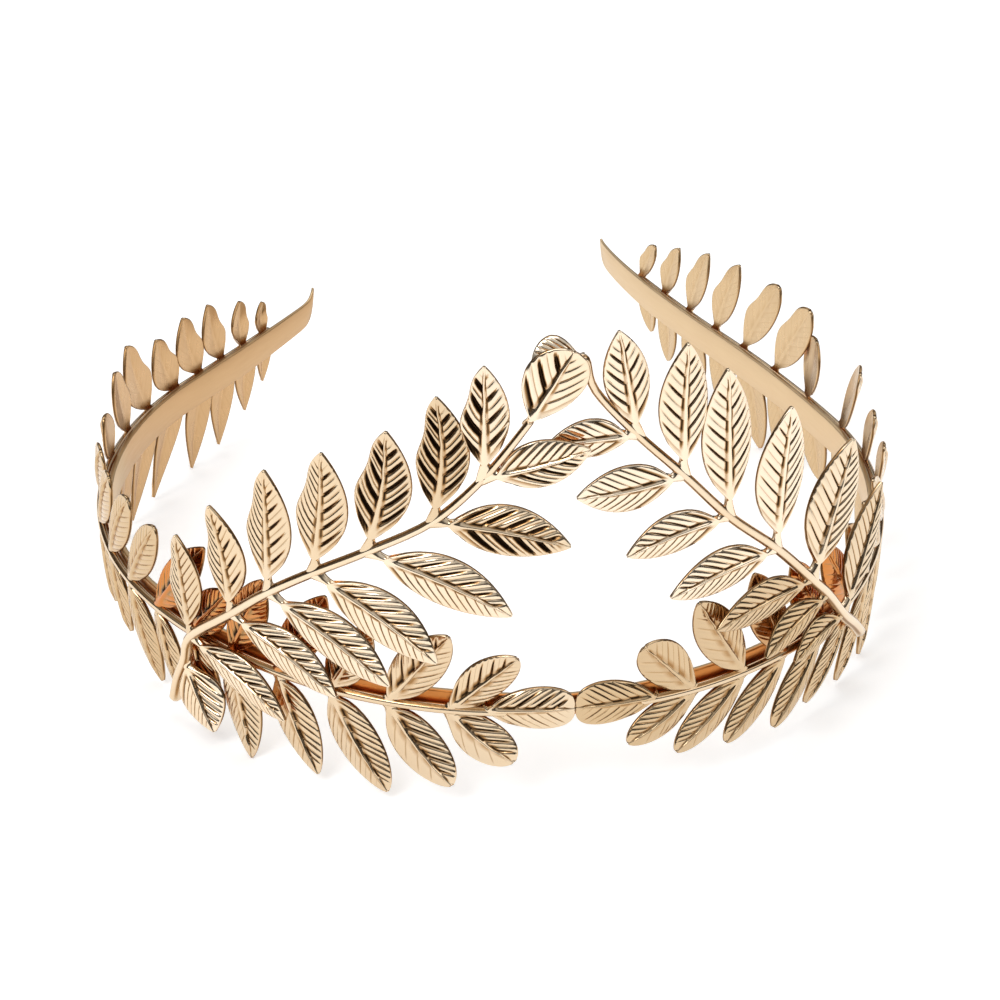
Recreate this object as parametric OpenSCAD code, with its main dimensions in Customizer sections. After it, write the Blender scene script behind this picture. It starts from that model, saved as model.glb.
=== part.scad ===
// Laurel leaf tiara: a thin open headband, two leafy branches along it and two
// leafy sprays that rise from its sides and cross above the middle of the front.
// The front centre of the band is at y = 0 before the last shift; +x is the
// wearer's left, seen on the right from the front, and the front looks along -y.

/* [Band] */
// Height of the band's strip at the sides and the back
band_h = 6.0; // [4:0.1:6.5]
// Height of the strip behind the front leaves
band_front_h = 4.4; // [3.5:0.1:6.5]
// Thickness of the strip
band_t = 1.0; // [0.8:0.1:1.4]
// Length over which each end narrows to its tip
band_taper = 26; // [16:1:30]
// How far the left tip rises above the band's upper edge
left_tip_rise = 2.4; // [0:0.1:4]
// How far the right tip rises above the band's upper edge
right_tip_rise = 0.3; // [0:0.1:4]
// How far the left tip curls outward
left_tip_curl = 0.3; // [0:0.1:4]
// How far the right tip curls outward
right_tip_curl = 1.1; // [0:0.1:4]
// Height of the band's upper edge over the ground
band_top_z = 20.6; // [19:0.1:24]

/* [Leaves] */
// Thickness of a leaf's metal
leaf_t = 0.8; // [0.6:0.1:1.2]
// Width of the small stalk that a leaf starts with
stalk_w = 1.2; // [0.8:0.1:1.6]
// Height of the raised veins over the grooves between them
vein_h = 0.3; // [0.1:0.05:0.5]
// Height of the middle rib over the blade
rib_h = 0.45; // [0.2:0.05:0.8]
// How far a leaf's edges fall back behind its middle
fold_back = 0.45; // [0:0.05:1]

/* [Stems] */
// Diameter of the stems along the band
branch_d = 1.7; // [1.2:0.1:2.2]
// Diameter of the stems of the two sprays
spray_d = 1.8; // [1.2:0.1:2.4]
// Gap between the band and the stems in front of it
solder_gap = 0.2; // [0.1:0.05:0.3]

/* [Hidden] */

GOLD = [0.86, 0.68, 0.43];

// Moves the middle of the whole tiara's length and width to x = 0 and y = 0
FRAME_SHIFT = [4.09, -80.49, 0];

// The band's plan, from the front centre to one end, as arcs.
ARC_LENGTH = 0;
ARC_TURN = 1;
// length, turn in degrees
RIGHT_ARCS = [[40, 35.6], [20, 19.8], [40, 30.6], [20, 18.9], [40, 8.3], [50, -7.8]];
LEFT_ARCS = [[40, 32.5], [40, 29.0], [40, 35.0], [40, 33.3], [42.4, -2]];

// Place along a plan of arcs: x, y and heading.
function walk(arcs, s, i = 0, at = [0, 0, 0]) =
    let (
        last = i == len(arcs) - 1,
        d = last ? s : min(s, arcs[i][ARC_LENGTH]),
        turn = arcs[i][ARC_TURN] * d / arcs[i][ARC_LENGTH],
        radius = arcs[i][ARC_LENGTH] / (arcs[i][ARC_TURN] * PI / 180),
        next = [
            at.x + radius * (sin(at.z + turn) - sin(at.z)),
            at.y + radius * (cos(at.z) - cos(at.z + turn)),
            at.z + turn
        ]
    )
    last || s <= arcs[i][ARC_LENGTH] ? next : walk(arcs, s - arcs[i][ARC_LENGTH], i + 1, next);

// Point on the wall that stands on the plan: distance along it, distance in
// front of it and height over the band's upper edge.
function wall(arcs, s, off, z) =
    let (at = walk(arcs, s))
    [at.x + off * sin(at.z), at.y - off * cos(at.z), z + band_top_z];

function total(arcs) = [for (a = arcs) a[ARC_LENGTH]] * [for (a = arcs) 1];
function mix(a, b, k) = a + (b - a) * k;
function clamp01(k) = max(0, min(1, k));

// The strip is a row of rings of four corners. It narrows a little near its end
// and is rounded off there below a small point.
BAND_STEPS = 34;
TIP_STEPS = 8;
BAND_END_H = 5.0;
POINT_H = 0.6;
// How suddenly the lower corner turns up into the point
CORNER_POWER = 24;
// How far the upper edge dips at the front centre, and over which length
DIP = 0.6;
DIP_LENGTH = 18;

function band_stops(arcs) =
    let (plain = total(arcs) - band_taper)
    concat(
        [for (i = [1:BAND_STEPS]) plain * i / BAND_STEPS],
        [for (i = [1:TIP_STEPS]) plain + band_taper * (1 - pow(1 - i / TIP_STEPS, 2))]
    );

function band_ring(arcs, rise, curl, s) =
    let (
        k = clamp01((s - total(arcs) + band_taper) / band_taper),
        point = pow(k, CORNER_POWER),
        top = rise * point - DIP * (1 - clamp01(s / DIP_LENGTH)),
        height = mix(mix(band_front_h, band_h, clamp01((s - 60) / 50)), BAND_END_H, k),
        low = mix(-height, rise - POINT_H, point),
        out = curl * pow(k, 3),
        thick = mix(band_t, 0.6, k)
    )
    [
        wall(arcs, s, out, top),
        wall(arcs, s, out, low),
        wall(arcs, s, out - thick, low),
        wall(arcs, s, out - thick, top)
    ];

function mirrored(ring) = [for (p = ring) [-p.x, p.y, p.z]];

module headband() {
    right = [for (s = band_stops(RIGHT_ARCS)) band_ring(RIGHT_ARCS, right_tip_rise, right_tip_curl, s)];
    left = [for (s = band_stops(LEFT_ARCS)) mirrored(band_ring(LEFT_ARCS, left_tip_rise, left_tip_curl, s))];
    backward = [for (i = [len(left) - 1:-1:0]) left[i]];
    rings = concat(backward, [band_ring(RIGHT_ARCS, 0, 0, 0)], right);
    count = len(rings);
    points = [for (ring = rings) each ring];
    sides = [
        for (i = [0:count - 2], j = [0:3])
            let (a = 4 * i + j, b = 4 * i + (j + 1) % 4)
            each [[a, a + 4, b + 4], [a, b + 4, b]]
    ];
    ends = [[0, 1, 2, 3], [for (j = [3:-1:0]) 4 * (count - 1) + j]];
    color(GOLD) translate(FRAME_SHIFT) polyhedron(points, concat(sides, ends));
}

// A leaf lies on the wall. Its row says where it starts, which way it points,
// in degrees up from the way to the front centre, how long and wide it is, how
// far its middle bows to the upper side and how much it turns about its rib.
LEAF_S = 0;
LEAF_Z = 1;
LEAF_ANGLE = 2;
LEAF_LENGTH = 3;
LEAF_WIDTH = 4;
LEAF_BOW = 5;
LEAF_TWIST = 6;
// Then what share of it is stalk, and how slim its blade is at its base and tip
LEAF_STALK = 7;
LEAF_BASE = 8;
LEAF_TIP = 9;

// How far forward the veins slant, as a share of the blade
VEIN_SLANT = 0.2;

function blade_share(row, t) = clamp01((t - row[LEAF_STALK]) / (1 - row[LEAF_STALK]));

// Half the width along a leaf: a stalk, then an oval blade with a point.
function leaf_half(row, t) =
    let (
        base = row[LEAF_BASE],
        tip = row[LEAF_TIP],
        widest = base / (base + tip),
        blade = blade_share(row, t),
        full = pow(blade / widest, base) * pow((1 - blade) / (1 - widest), tip)
    )
    max(stalk_w * (1 - t), row[LEAF_WIDTH] * full) / 2;

function leaf_point(arcs, row, off, flare, t, side, lift) =
    let (
        a = row[LEAF_LENGTH] * t,
        half = side * leaf_half(row, t),
        b = half + row[LEAF_BOW] * sin(180 * t),
        s = row[LEAF_S] - a * cos(row[LEAF_ANGLE]) + b * sin(row[LEAF_ANGLE]),
        z = row[LEAF_Z] + a * sin(row[LEAF_ANGLE]) + b * cos(row[LEAF_ANGLE])
    )
    wall(arcs, s, off + flare * pow(t, 3) + row[LEAF_TWIST] * half + lift, z);

// One ring of a leaf: its upper face is a rib between two blades that fall back,
// its lower face is flat.
function leaf_ring(arcs, row, off, flare, t, edge_t, raise) =
    let (grown = sin(180 * blade_share(row, t)), back = -fold_back * grown)
    [
        leaf_point(arcs, row, off, flare, edge_t, -1, raise * grown + back),
        leaf_point(arcs, row, off, flare, t, 0, rib_h),
        leaf_point(arcs, row, off, flare, edge_t, 1, raise * grown + back),
        leaf_point(arcs, row, off, flare, edge_t, 1, back - leaf_t),
        leaf_point(arcs, row, off, flare, edge_t, -1, back - leaf_t)
    ];

// A leaf's steps are two for each pair of veins, without its stalk.
module leaf(arcs, row, off, flare, steps) {
    blade = [
        for (i = [0:steps - 1])
            let (
                k = i / steps,
                edge_k = k + VEIN_SLANT * sin(180 * k),
                t = mix(row[LEAF_STALK], 1, k),
                edge_t = mix(row[LEAF_STALK], 1, edge_k)
            )
            leaf_ring(arcs, row, off, flare, t, edge_t, i % 2 == 0 ? vein_h / 2 : -vein_h / 2)
    ];
    rings = concat([leaf_ring(arcs, row, off, flare, 0, 0, 0)], blade);
    tip = leaf_point(arcs, row, off, flare, 1, 0, -leaf_t / 2);
    points = concat([for (ring = rings) each ring], [tip]);
    sides = [
        for (i = [0:steps - 1], j = [0:4])
            let (a = 5 * i + j, b = 5 * i + (j + 1) % 5)
            each [[a, b + 5, b], [a, a + 5, b + 5]]
    ];
    end = 5 * steps;
    cone = [for (j = [0:4]) [end + j, end + 5, end + (j + 1) % 5]];
    polyhedron(points, concat(sides, cone, [[0, 1, 2, 3, 4]]));
}

// Stem through a row of places [s, z, off, diameter].
module stem(arcs, places) {
    for (i = [0:len(places) - 2])
        hull()
            for (p = [places[i], places[i + 1]])
                translate(wall(arcs, p[0], p[2], p[1])) sphere(d = p[3], $fn = 8);
}

// Branches along the band
BRANCH_OFF = branch_d / 2 + solder_gap;
BRANCH_START = 11;
BRANCH_STEPS = 5;

// The stem lies in front of the band and climbs towards its upper edge.
function branch_z(s) = mix(-2.6, -1.4, clamp01((s - 20) / 100));

// Places of the pairs of leaves
LEFT_JOINTS = [
    19.5, 29.4, 39.2, 48.8, 58.2, 67.8, 77.4, 87, 97, 107,
    118, 129, 139.5, 149.5, 159, 166.4, 173.6, 180.6, 187.5
];
RIGHT_JOINTS = [
    19.6, 29, 37.8, 47.4, 57, 66.6, 76.2, 85.8, 95.4,
    106, 117.5, 130, 142, 153, 162.6, 172.2, 181.8, 191.4
];

// Leaves along the branches: s, length, slant, width, flare, twist, tip
LEFT_UP = [
    [19.5, 15.2, 46, 7.0, 1.2, 0, 0.6],
    [29.4, 17.6, 55, 7.8, 1.2, 0, 0.7],
    [39.2, 15.6, 62, 7.2, 0.8, 0, 0.8],
    [48.8, 20.4, 61, 7.0, 0.8, 0, 0.8],
    [58.2, 18.6, 66, 7.0, 0.6, 0, 0.8],
    [67.8, 15.0, 50, 7.0, 0, 0, 0.8],
    [77.4, 21.4, 52, 7.0, -0.9, 0, 0.8],
    [87, 17.0, 58, 6.8, -1.0, 0, 0.6],
    [97, 17.0, 59, 7.2, -1.2, 0, 0.5],
    [118, 13.6, 60, 7.6, -0.9, 0.15, 0.5],
    [129, 13.3, 64, 7.2, -0.6, 0, 0.7],
    [139.5, 16.1, 72, 8.0, -0.2, 0, 0.7],
    [149.5, 17.8, 70, 9.0, 0.5, 0, 0.8],
    [159, 13.6, 70, 8.6, 0.6, 0, 0.8],
    [166.4, 14.1, 76, 8.4, 0.6, 0, 0.8],
    [173.6, 13.4, 79, 7.4, 0.8, 0, 0.8],
    [180.6, 9.9, 92, 6.0, 0.6, 0, 0.7],
    [187.5, 6.9, 95, 4.2, 0.4, 0, 0.7]
];
LEFT_LOW = [
    [19.5, 13.3, -41, 7.8, 1.4, 0, 0.5],
    [29.4, 17.3, -53, 8.2, 1.6, 0, 0.6],
    [39.2, 19.5, -59, 7.8, 1.6, 0, 0.7],
    [48.8, 18.4, -65, 7.6, 1.5, 0, 0.8],
    [58.2, 19.1, -77, 7.4, 1.4, 0, 0.8],
    [67.8, 17.2, -75, 7.0, -0.8, 0, 0.8],
    [77.4, 16.8, -73, 7.0, -0.6, 0, 0.8],
    [87, 19.0, -71, 8.0, -1.7, 0, 0.8],
    [97, 15.0, -73, 7.0, -1.2, 0, 0.8],
    [118, 14.6, -72, 7.0, -0.6, 0, 0.8],
    [139.5, 21.0, -63, 7.6, 0.2, 0, 1.0],
    [149.5, 22.1, -56, 7.6, 0.2, 0, 1.1],
    [159, 22.3, -56, 7.4, 0, 0, 1.1],
    [166.4, 20.1, -73, 7.2, 0.4, 0, 1.1],
    [173.6, 18.5, -77, 6.8, 0.4, 0, 1.1],
    [180.6, 14.5, -82, 6.2, 0.4, 0, 1.1],
    [187.5, 10.8, -77, 4.8, 0.4, 0, 1.1]
];
RIGHT_UP = [
    [19.6, 14.2, 50, 7.6, 1.0, 0, 0.5],
    [29, 19.6, 60, 7.6, 1.2, 0, 0.7],
    [37.8, 20.6, 66, 7.2, 0.9, 0, 0.8],
    [57, 17.4, 59, 7.0, -1.2, 0, 0.8],
    [85.8, 16.0, 52, 6.8, -1.6, 0, 0.8],
    [95.4, 18.7, 52, 6.8, -0.3, 0, 0.6],
    [106, 14.4, 60, 7.6, -0.5, 0.15, 0.5],
    [117.5, 18.9, 60, 8.8, -1.1, 0.4, 0.5],
    [130, 14.3, 77, 9.6, -0.6, 0.3, 0.5],
    [142, 21.1, 59, 8.4, 0.4, 0, 0.6],
    [153, 20.7, 61, 7.6, 0.8, 0, 0.6],
    [162.6, 18.1, 71, 6.8, 0.8, 0, 0.8],
    [172.2, 16.2, 72, 6.8, 0.8, 0, 0.8],
    [181.8, 13.1, 72, 6.0, 0.6, 0, 0.8],
    [191.4, 10.3, 64, 4.6, 0.4, 0, 0.6]
];
RIGHT_LOW = [
    [19.6, 13.4, -32, 6.6, 1.0, 0, 0.6],
    [29, 16.6, -40, 6.8, 1.2, 0, 0.6],
    [47.4, 18.1, -51, 6.6, 0.4, 0, 0.6],
    [57, 18.6, -55, 6.6, -1.3, 0, 0.6],
    [66.6, 19.4, -63, 6.4, -1.3, 0, 0.6],
    [76.2, 19.8, -65, 6.4, -0.4, 0, 0.7],
    [95.4, 14.2, -67, 6.6, -1.7, 0, 0.8],
    [117.5, 14.4, -69, 8.0, -1.5, 0, 0.8],
    [130, 16.0, -66, 8.6, 0.2, 0, 0.7],
    [142, 20.5, -71, 8.6, 0, 0, 0.7],
    [153, 20.3, -68, 8.6, 0.4, 0, 0.7],
    [162.6, 20.0, -72, 8.4, 0.4, 0, 0.7],
    [172.2, 18.0, -78, 8.0, 0.4, 0, 0.7],
    [181.8, 14.5, -82, 7.0, 0.4, 0, 0.7],
    [191.4, 11.5, -67, 6.0, 0.4, 0, 0.7]
];
ROW_LENGTH = 1;
ROW_SLANT = 2;
ROW_WIDTH = 3;
ROW_FLARE = 4;
ROW_TWIST = 5;
ROW_TIP = 6;

function from_row(rows, s, column) = lookup(s, [for (r = rows) [r[0], r[column]]]);

// Length that brings the tip of a hanging leaf down to the ground
function to_ground(s, slant) = slant < 0 ? (band_top_z + branch_z(s)) / sin(-slant) : 1000;

// The hanging leaves bow to their tips' side at the front and away from it at
// the back. There the upper leaves are slimmer and the hanging ones fuller at
// their base.
function hanging_bow(s) = mix(-0.9, 1.4, clamp01((s - 50) / 90));
function branch_base(s, slant) = mix(0.6, slant < 0 ? 0.5 : 0.9, clamp01((s - 110) / 30));

// The upper leaves at the back of the left branch start this far before their
// joint and bow that way too.
LEFT_SHIFT = 1.6;
BRANCH_STALK = 0.08;

module leaf_row(arcs, rows, joints, shift) {
    for (s = joints) {
        slant = from_row(rows, s, ROW_SLANT);
        length = min(from_row(rows, s, ROW_LENGTH), to_ground(s, slant));
        before = shift * clamp01((s - 130) / 20);
        leaf(
            arcs,
            [
                s - before, branch_z(s), slant, length, from_row(rows, s, ROW_WIDTH),
                slant < 0 ? hanging_bow(s) : -0.8 * before, from_row(rows, s, ROW_TWIST),
                BRANCH_STALK, branch_base(s, slant), from_row(rows, s, ROW_TIP)
            ],
            BRANCH_OFF + 0.3,
            from_row(rows, s, ROW_FLARE),
            BRANCH_STEPS
        );
    }
}

// The branch's last leaf lies along the band: s of its foot, height over the
// stem, length and width.
LEFT_END_LEAF = [14.4, 0.5, 14.25, 8.0];
RIGHT_END_LEAF = [13.6, 0.6, 13.45, 8.2];
CROWN_TIP = 0.5;
END_TIP = 0.28;

module base_branch(arcs, joints, up_rows, low_rows, end_leaf, up_shift) {
    stem(arcs, [for (s = concat([BRANCH_START], joints)) [s, branch_z(s), BRANCH_OFF, branch_d]]);
    leaf(
        arcs,
        [end_leaf[0], branch_z(0) + end_leaf[1], 0, end_leaf[2], end_leaf[3], 0, 0, BRANCH_STALK, 0.6, END_TIP],
        BRANCH_OFF + 0.5,
        0,
        BRANCH_STEPS + 4
    );
    leaf_row(arcs, up_rows, joints, up_shift);
    leaf_row(arcs, low_rows, joints, 0);
}

module base_branch_left()
    color(GOLD) translate(FRAME_SHIFT) mirror([1, 0, 0])
        base_branch(LEFT_ARCS, LEFT_JOINTS, LEFT_UP, LEFT_LOW, LEFT_END_LEAF, LEFT_SHIFT);

module base_branch_right()
    color(GOLD) translate(FRAME_SHIFT)
        base_branch(RIGHT_ARCS, RIGHT_JOINTS, RIGHT_UP, RIGHT_LOW, RIGHT_END_LEAF, 0);

// Sprays
SPRAY_STEPS = 7;
SPRAY_S = 0;
SPRAY_Z = 1;
UP_ANGLE = 2;
UP_LENGTH = 3;
UP_TWIST = 6;
LOW_ANGLE = 7;
LOW_LENGTH = 8;
LOW_TWIST = 11;
// What share of a leaf is stalk, and how slim its blade is at its base and tip
SPRAY_LEAF = [0.14, 0.72, 0.9];
CROWN_SHAPE = [0.14, 0.72, CROWN_TIP];

// s, z, then angle, length, width, bow and twist of the upper and of the lower leaf
LEFT_SPRAY = [
    [67.5, -6.7, 93, 0, 0, 0, 0, -59, 13.0, 9.4, -0.4, -0.2],
    [65.5, -1.2, 94, 19.2, 8.0, 0.4, 0, -23, 21.2, 7.6, 1, 0],
    [55.4, 7.9, 98, 19.5, 7.6, -0.6, 0, -26, 21.1, 7.8, 1, 0],
    [47.6, 15.0, 88, 22.6, 8.2, 0, 0, -31, 23.2, 8.4, 1, 0],
    [39.3, 21.4, 84, 22.1, 8.2, -0.4, 0, -34, 22.7, 8.6, 1, 0],
    [30.6, 27.4, 81, 21.9, 8.2, -0.8, 0, -23.5, 22.8, 8.4, 1, 0],
    [20.8, 34.4, 88, 21.4, 7.6, -1.0, 0, -11, 19.5, 8.4, 0.8, 0],
    [13.6, 42.8, 90, 18.6, 6.8, 0, 0, 18, 15.0, 8.0, -0.4, 0]
];
RIGHT_SPRAY = [
    [50.8, -0.5, 118, 22.6, 7.8, 0.8, 0.25, -11, 13.4, 6.4, 1, 0],
    [45.3, 6.4, 110, 0, 0, 0, 0, -22, 15.3, 6.6, 1, 0],
    [40.8, 11.3, 108, 24.1, 8.4, 0.4, 0.35, -5, 19.4, 8.2, 1, 0],
    [32.2, 20.8, 91.5, 25.3, 9.0, -0.2, 0, -9, 19.0, 8.2, 0.8, 0],
    [22.8, 29.9, 86, 26.2, 8.2, 0.1, 0, -11, 16.6, 7.8, 0.8, 0],
    [14.9, 39.3, 89, 22.4, 7.6, -0.1, 0, -5, 15.9, 8.6, -0.4, 0],
    [7.6, 47.6, 80, 17.9, 6.6, 0, 0, -1, 12.6, 7.0, 0, 0],
    [1.5, 55.6, 90, 0, 0, 0, 0, 0, 0, 0, 0, 0]
];
LEFT_FOOT = [[71.0, -16.0], [69.6, -11.3]];
RIGHT_FOOT = [[58.4, -8.4], [55.0, -4.7]];
LEFT_CROWN = [8.1, 51.5];
RIGHT_CROWN = [0.1, 60.8];
// angle, length, width, bow and twist
LEFT_CROWN_LEAF = [63, 13.6, 8.6, 0, 0];
RIGHT_CROWN_LEAF = [2, 8.8, 6.0, 1.2, 0];

// A spray's stem is soldered in front of the branch's stem up to here, and
// leans forward from there to its crown.
SOLDER_Z = -1;
SPRAY_OFF = BRANCH_OFF + branch_d / 2 + (spray_d + 0.4) / 2;

module spray(arcs, foot, rows, crown, crown_leaf, off_crown) {
    function off_at(z) = mix(SPRAY_OFF, off_crown, clamp01((z - SOLDER_Z) / (crown[1] - SOLDER_Z)));
    spine = concat(foot, [for (r = rows) [r[SPRAY_S], r[SPRAY_Z]]], [crown]);
    stem(arcs, [
        for (i = [0:len(spine) - 1])
            [spine[i][0], spine[i][1], off_at(spine[i][1]), mix(spray_d + 0.4, spray_d - 0.7, i / len(spine))]
    ]);
    for (r = rows) {
        start = [r[SPRAY_S], r[SPRAY_Z]];
        off = off_at(r[SPRAY_Z]) + 0.3;
        if (r[UP_LENGTH] > 0)
            leaf(arcs, concat(start, [for (k = [UP_ANGLE:UP_TWIST]) r[k]], SPRAY_LEAF), off, 0.6, SPRAY_STEPS);
        if (r[LOW_LENGTH] > 0)
            leaf(arcs, concat(start, [for (k = [LOW_ANGLE:LOW_TWIST]) r[k]], SPRAY_LEAF), off, 0.6, SPRAY_STEPS);
    }
    leaf(arcs, concat(crown, crown_leaf, CROWN_SHAPE), off_crown + 0.3, 0, SPRAY_STEPS);
}

module upper_spray_left()
    color(GOLD) translate(FRAME_SHIFT) mirror([1, 0, 0])
        spray(LEFT_ARCS, LEFT_FOOT, LEFT_SPRAY, LEFT_CROWN, LEFT_CROWN_LEAF, 6.8);

module upper_spray_right()
    color(GOLD) translate(FRAME_SHIFT)
        spray(RIGHT_ARCS, RIGHT_FOOT, RIGHT_SPRAY, RIGHT_CROWN, RIGHT_CROWN_LEAF, 4.2);

headband();
base_branch_left();
base_branch_right();
upper_spray_left();
upper_spray_right();
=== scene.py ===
# %% [markdown]
# # A laurel leaf tiara in gold metal
# The real tiara is cast and stamped metal: a thin open headband, a leafy branch
# soldered along each half of it, and two leafy sprays that rise from its sides
# and cross above the front. The plain solids are loaded first, and each piece
# below takes the place of one of them, in the same place and at the same size.

# %% Load the plain solids
import math
import random
from collections import namedtuple

import bmesh
import bpy
from mathutils import Matrix, Vector


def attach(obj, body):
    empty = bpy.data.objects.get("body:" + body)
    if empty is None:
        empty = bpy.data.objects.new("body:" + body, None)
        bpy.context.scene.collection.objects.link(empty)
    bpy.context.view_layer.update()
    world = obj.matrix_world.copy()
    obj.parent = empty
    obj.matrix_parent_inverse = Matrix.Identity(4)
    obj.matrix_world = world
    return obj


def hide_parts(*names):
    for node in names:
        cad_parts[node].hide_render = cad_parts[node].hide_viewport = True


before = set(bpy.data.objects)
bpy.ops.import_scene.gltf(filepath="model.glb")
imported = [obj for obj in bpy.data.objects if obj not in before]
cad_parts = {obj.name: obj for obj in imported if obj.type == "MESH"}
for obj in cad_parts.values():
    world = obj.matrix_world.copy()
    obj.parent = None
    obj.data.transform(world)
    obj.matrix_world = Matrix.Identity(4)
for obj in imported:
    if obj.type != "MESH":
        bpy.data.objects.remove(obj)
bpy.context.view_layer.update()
MM = 0.001
print("solids:", sorted(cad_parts))

# %% [markdown]
# ## The wall that everything stands on
# A headband is bent from one flat strip, so its plan is a chain of arcs. A leaf
# that lies on such a strip is easiest to draw flat: how far along the strip, how
# far in front of it, and how high. One function then bends the flat drawing
# round the head. A lattice or a curve modifier could bend a finished mesh too,
# but a function also gives the places for the stems and the band.

# %% Plan of the band, as length and turn of each arc
RIGHT_ARCS = [(40, 35.6), (20, 19.8), (40, 30.6), (20, 18.9), (40, 8.3), (50, -7.8)]
LEFT_ARCS = [(40, 32.5), (40, 29.0), (40, 35.0), (40, 33.3), (42.4, -2.0)]
ARCS = {"left": LEFT_ARCS, "right": RIGHT_ARCS}
MIRROR = {"left": -1.0, "right": 1.0}
BAND_TOP_Z = 20.6
MIDDLE_X = 4.09
MIDDLE_Y = -80.49


def mix(a, b, k):
    """a where k is 0, b where k is 1."""
    return a + (b - a) * k


def clamp01(k):
    return max(0.0, min(1.0, k))


def ramp(start, length, s):
    """0 up to start, then in a straight line to 1 over the length."""
    return clamp01((s - start) / length)


def smooth(a, b, x):
    """0 up to a and 1 from b on, with a soft start and a soft end."""
    k = clamp01((x - a) / (b - a))
    return k * k * (3 - 2 * k)


def half_length(side):
    return sum(length for length, turn in ARCS[side])


def walk(side, s):
    """x, y and heading after s millimetres along one half of the band."""
    x = y = heading = 0.0
    arcs = ARCS[side]
    for i, (length, turn) in enumerate(arcs):
        last = i == len(arcs) - 1
        d = s if last else min(s, length)
        turned = math.radians(turn) * d / length
        radius = length / math.radians(turn)
        x += radius * (math.sin(heading + turned) - math.sin(heading))
        y += radius * (math.cos(heading) - math.cos(heading + turned))
        heading += turned
        s -= length
        if last or s <= 0:
            return x, y, heading


def wall(side, s, off, z):
    """Place in metres from the flat drawing: along, in front, and up."""
    x, y, heading = walk(side, s)
    x = MIRROR[side] * (x + off * math.sin(heading))
    y = y - off * math.cos(heading)
    return Vector((x + MIDDLE_X, y + MIDDLE_Y, z + BAND_TOP_Z)) * MM


print("band length in mm:", half_length("left") + half_length("right"))

# %% [markdown]
# ## Camera
# The view is from a little to the left and from above. The camera stands less than
# half a metre away, so the far ends of the band look about a quarter smaller than
# the front. A camera further off with a longer lens would flatten that.

# %% Place the camera
CAMERA_AIM = Vector((0.75, -19.77, 20.6)) * MM
CAMERA_AZIMUTH = math.radians(-7.9)
CAMERA_ELEVATION = math.radians(30.37)
CAMERA_DISTANCE = 439.7 * MM
CAMERA_LENS = 88.8

camera_data = bpy.data.cameras.new("camera")
camera_data.sensor_width = 36.0
camera_data.lens = CAMERA_LENS
camera_data.clip_start = 0.01
camera = bpy.data.objects.new("camera", camera_data)
camera.rotation_euler = (math.pi / 2 - CAMERA_ELEVATION, 0.0, CAMERA_AZIMUTH)
towards_camera = Vector((
    math.sin(CAMERA_AZIMUTH) * math.cos(CAMERA_ELEVATION),
    -math.cos(CAMERA_AZIMUTH) * math.cos(CAMERA_ELEVATION),
    math.sin(CAMERA_ELEVATION),
))
camera.location = CAMERA_AIM + towards_camera * CAMERA_DISTANCE
bpy.context.scene.collection.objects.link(camera)
bpy.context.scene.camera = camera
print("camera at", [round(v, 3) for v in camera.location])

# %% [markdown]
# ## Studio light and floor
# Polished metal has no look of its own: it shows what stands round it. A white
# tent all round would make the gold flat, so the surroundings are bright above,
# the floor is bright below, and a dark belt runs between them. The belt draws
# dark lines in the leaves' relief, and large soft lamps give the highlights.

# %% Surroundings with a darker horizon
# height of the direction, 0 at the horizon and 1 straight up, and the light from there
SKY = [
    (0.0, (0.06, 0.055, 0.05, 1.0)),
    (0.3, (0.16, 0.15, 0.14, 1.0)),
    (0.62, (1.0, 1.0, 1.0, 1.0)),
]
SKY_STRENGTH = 0.6

scene = bpy.context.scene
scene.view_settings.view_transform = "Standard"
world = bpy.data.worlds.new("studio")
scene.world = world
world.use_nodes = True
nodes, links = world.node_tree.nodes, world.node_tree.links
nodes.clear()
direction = nodes.new("ShaderNodeTexCoord")
split = nodes.new("ShaderNodeSeparateXYZ")
links.new(direction.outputs["Generated"], split.inputs["Vector"])
belt = nodes.new("ShaderNodeValToRGB")
stops = belt.color_ramp.elements
stops.new(SKY[1][0])
for stop, (height, colour) in zip(stops, SKY):
    stop.position = height
    stop.color = colour
links.new(split.outputs["Z"], belt.inputs["Fac"])
backdrop = nodes.new("ShaderNodeBackground")
backdrop.inputs["Strength"].default_value = SKY_STRENGTH
links.new(belt.outputs["Color"], backdrop.inputs["Color"])
output = nodes.new("ShaderNodeOutputWorld")
links.new(backdrop.outputs["Background"], output.inputs["Surface"])
print("sky stops:", [round(stop.position, 2) for stop in stops])

# %% Soft lamps round the tiara
LAMPS = [
    # name, azimuth, elevation, distance, width, height, watts
    ("key", -50, 48, 0.9, 0.4, 0.4, 2.2),
    ("fill", 55, 40, 0.9, 0.5, 0.3, 0.5),
    ("back", 180, 55, 1.0, 0.9, 0.5, 1.2),
    ("top", 0, 88, 1.1, 0.6, 0.6, 2.0),
]


def soft_lamp(name, azimuth, elevation, distance, width, height, watts):
    data = bpy.data.lights.new(name, "AREA")
    data.shape = "RECTANGLE"
    data.size = width
    data.size_y = height
    data.energy = watts
    lamp = bpy.data.objects.new(name, data)
    az, el = math.radians(azimuth), math.radians(elevation)
    outward = Vector((math.sin(az) * math.cos(el), -math.cos(az) * math.cos(el), math.sin(el)))
    lamp.location = CAMERA_AIM + outward * distance
    lamp.rotation_euler = outward.to_track_quat("Z", "Y").to_euler()
    scene.collection.objects.link(lamp)


for row in LAMPS:
    soft_lamp(*row)
print("lamps:", len(LAMPS))

# %% [markdown]
# The floor is one flat sheet of matt white. It is wide, so that its edge stays out
# of the picture in low views, and it glows a little, as a lit paper backdrop does.

# %% Pale floor
FLOOR_HALF = 3.2
FLOOR_WHITE = (0.93, 0.93, 0.93, 1.0)
FLOOR_ROUGH = 0.9
FLOOR_GLOW = 0.36


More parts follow.
